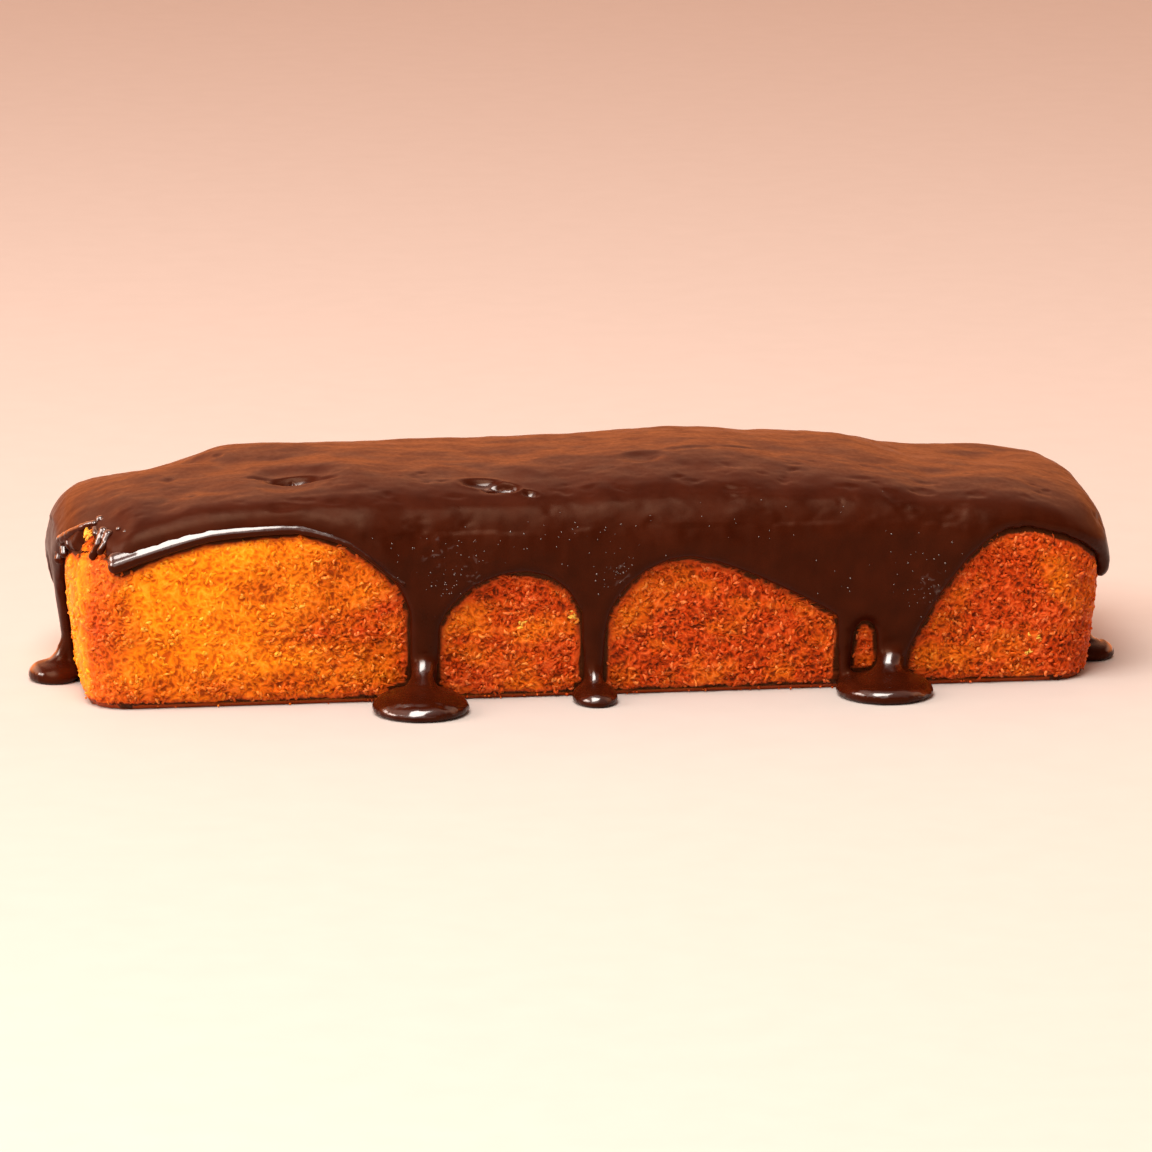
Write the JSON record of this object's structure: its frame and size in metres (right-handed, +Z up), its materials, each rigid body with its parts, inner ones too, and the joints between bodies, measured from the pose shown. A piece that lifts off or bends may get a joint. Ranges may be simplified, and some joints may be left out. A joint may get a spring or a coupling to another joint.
{
  "type": "carrot cake",
  "caption": "Loaf-shaped carrot cake with a domed top, under a poured dark chocolate glaze that runs down its sides in drips and pools at its foot.",
  "frame": {"origin": "centre of the loaf's flat base, in the plane that it rests on", "axes": "+Z up, X along the loaf, -Y its front side with the twin drip to the right"},
  "size_m": [0.3063, 0.1394, 0.0636],
  "materials": {
    "cake": "matte, porous orange crumb",
    "chocolate_glaze": "satin top, glossy lips and pools"
  },
  "bodies": {
    "root": {"cake": "cake", "chocolate_glaze": "chocolate_glaze"}
  },
  "joints": []
}
